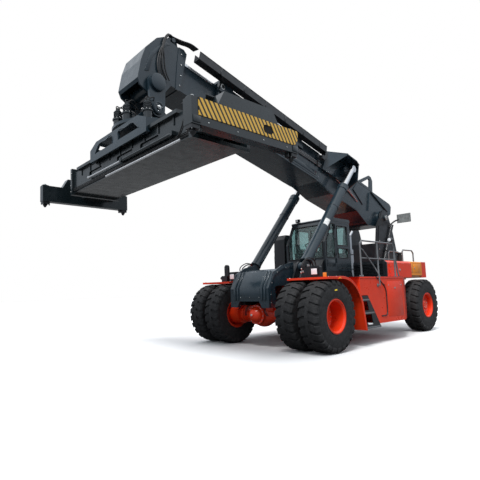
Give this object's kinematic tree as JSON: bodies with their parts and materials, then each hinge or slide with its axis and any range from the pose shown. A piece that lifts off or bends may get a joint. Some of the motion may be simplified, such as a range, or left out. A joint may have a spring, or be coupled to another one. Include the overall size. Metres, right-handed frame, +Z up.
{
  "type": "reach stacker",
  "caption": "Container reach stacker: wheeled chassis with twin front tyres, cab between lift cylinders, telescopic boom and a slewing telescopic spreader with striped end panels.",
  "frame": {"origin": "on the ground, under the middle of the machine's box", "axes": "+X forward to the spreader, +Y to the driver's left, +Z up"},
  "size_m": [11.9996, 6.0676, 7.1881],
  "materials": {
    "frame_paint": "dark grey gloss enamel",
    "steel_paint": "blue-grey enamel",
    "spreader_paint": "near-black enamel",
    "red_paint": "orange-red gloss enamel",
    "rim_paint": "orange-red enamel",
    "orange_paint": "orange enamel",
    "black_paint": "black satin enamel",
    "rail_paint": "grey enamel",
    "cast_iron": "bare, oiled",
    "chrome": "polished",
    "lamp_plastic": "black plastic",
    "cab_paint": "grey enamel",
    "glass": "tinted safety glass",
    "seat_cover": "woven black",
    "tyre": "black rubber",
    "hazard_paint": "yellow with dark diagonal stripes"
  },
  "bodies": {
    "chassis": {"chassis_frame": "frame_paint", "nose_box": "steel_paint", "drive_axle": "red_paint", "steer_axle": "frame_paint", "fenders": "red_paint", "side_bodies": "red_paint", "steps": "black_paint", "deck_plates": "frame_paint", "handrails": "rail_paint", "engine_block": "cast_iron", "engine_hood": "red_paint", "air_intake": "black_paint", "counterweight": "red_paint", "rear_boxes": "orange_paint", "boom_tower": "frame_paint", "exhaust_stack": "chrome", "hydraulic_cabinet": "black_paint", "lamps": "lamp_plastic", "side_mirror": "lamp_plastic", "cab_base": "frame_paint", "cab_frame": "cab_paint", "cab_glass": "glass", "cab_seat": "seat_cover", "steering_column": "seat_cover"},
    "cab_door_left": {"cab_door_left": "cab_paint", "door_glass_left": "glass"},
    "cab_door_right": {"cab_door_right": "cab_paint", "door_glass_right": "glass"},
    "front_wheels_left": {"tyres_front_left": "tyre", "rims_front_left": "rim_paint"},
    "front_wheels_right": {"tyres_front_right": "tyre", "rims_front_right": "rim_paint"},
    "knuckle_left": {"knuckle_left": "frame_paint"},
    "knuckle_right": {"knuckle_right": "frame_paint"},
    "rear_wheel_left": {"tyre_rear_left": "tyre", "rim_rear_left": "rim_paint"},
    "rear_wheel_right": {"tyre_rear_right": "tyre", "rim_rear_right": "rim_paint"},
    "outer_boom": {"boom_outer": "steel_paint", "hose_tray": "black_paint"},
    "inner_boom": {"boom_inner": "steel_paint", "boom_head": "steel_paint"},
    "lift_barrels": {"lift_barrels": "steel_paint"},
    "lift_rods": {"lift_rods": "chrome"},
    "link": {"head_link": "steel_paint"},
    "rotator": {"rotator": "steel_paint", "slew_motors": "black_paint"},
    "carriage": {"carriage": "steel_paint"},
    "spreader": {"spreader_frame": "spreader_paint"},
    "telescope_left": {"telescope_left": "spreader_paint", "twistlocks_left": "cast_iron", "hazard_panel_left": "hazard_paint"},
    "telescope_right": {"telescope_right": "spreader_paint", "twistlocks_right": "cast_iron", "hazard_panel_right": "hazard_paint"}
  },
  "joints": [
    {"name": "front_wheels_left_spin", "type": "hinge", "parent": "chassis", "child": "front_wheels_left", "pos_m": [1.15017, 1.54, 0.83], "axis": [0, 1, 0], "continuous": true},
    {"name": "front_wheels_right_spin", "type": "hinge", "parent": "chassis", "child": "front_wheels_right", "pos_m": [1.15017, -1.54, 0.83], "axis": [0, 1, 0], "continuous": true},
    {"name": "steer_left", "type": "hinge", "parent": "chassis", "child": "knuckle_left", "pos_m": [-4.84983, 1.08, 0.83], "axis": [0, 0, 1], "range_deg": [-45, 45]},
    {"name": "steer_right", "type": "hinge", "parent": "chassis", "child": "knuckle_right", "pos_m": [-4.84983, -1.08, 0.83], "axis": [0, 0, 1], "range_deg": [-45, 45]},
    {"name": "rear_wheel_left_spin", "type": "hinge", "parent": "knuckle_left", "child": "rear_wheel_left", "pos_m": [-4.84983, 1.43, 0.83], "axis": [0, 1, 0], "continuous": true},
    {"name": "rear_wheel_right_spin", "type": "hinge", "parent": "knuckle_right", "child": "rear_wheel_right", "pos_m": [-4.84983, -1.43, 0.83], "axis": [0, 1, 0], "continuous": true},
    {"name": "cab_door_left_swing", "type": "hinge", "parent": "chassis", "child": "cab_door_left", "pos_m": [-1.34183, 0.684, 2.7], "axis": [0, 0, -1], "range_deg": [0, 80]},
    {"name": "cab_door_right_swing", "type": "hinge", "parent": "chassis", "child": "cab_door_right", "pos_m": [-1.34183, -0.684, 2.7], "axis": [0, 0, 1], "range_deg": [0, 80]},
    {"name": "boom_lift", "type": "hinge", "parent": "chassis", "child": "outer_boom", "pos_m": [-4.59983, 0, 3.8], "axis": [0, -1, 0], "range_deg": [-14, 46]},
    {"name": "boom_extend", "type": "slide", "parent": "outer_boom", "child": "inner_boom", "axis": [-0.9703, 0, -0.2419], "range_m": [-5.88, 0.12]},
    {"name": "lift_barrels_swing", "type": "hinge", "parent": "chassis", "child": "lift_barrels", "pos_m": [0.55017, 0, 2.03], "axis": [0, -1, 0], "range_deg": [-1, 2]},
    {"name": "lift_rods_slide", "type": "slide", "parent": "lift_barrels", "child": "lift_rods", "axis": [-0.6721, 0, 0.7405], "range_m": [-0.65, 2.12]},
    {"name": "link_level", "type": "hinge", "parent": "inner_boom", "child": "link", "pos_m": [4.78033, 0, 5.86047], "axis": [0, -1, 0], "range_deg": [-46, 14]},
    {"name": "spreader_sway", "type": "hinge", "parent": "link", "child": "rotator", "pos_m": [4.78033, 0, 5.31047], "axis": [0, -1, 0], "range_deg": [-5, 5]},
    {"name": "spreader_slew", "type": "hinge", "parent": "rotator", "child": "carriage", "pos_m": [4.78033, 0, 4.93], "axis": [0, 0, 1], "range_deg": [-105, 195]},
    {"name": "side_shift", "type": "slide", "parent": "carriage", "child": "spreader", "axis": [0, 1, 0], "range_m": [-0.8, 0.8]},
    {"name": "telescope_left_slide", "type": "slide", "parent": "spreader", "child": "telescope_left", "axis": [0, 1, 0], "range_m": [0, 3.066]},
    {"name": "telescope_right_slide", "type": "slide", "parent": "spreader", "child": "telescope_right", "axis": [0, -1, 0], "range_m": [0, 3.066]}
  ],
  "couplings": [
    {"joint": "steer_right", "follows": "steer_left", "ratio": 1},
    {"joint": "lift_barrels_swing", "follows": "boom_lift", "ratio": 0.03},
    {"joint": "lift_rods_slide", "follows": "boom_lift", "m_per_rad": 2.61},
    {"joint": "link_level", "follows": "boom_lift", "ratio": -1},
    {"joint": "telescope_right_slide", "follows": "telescope_left_slide", "ratio": 1}
  ]
}
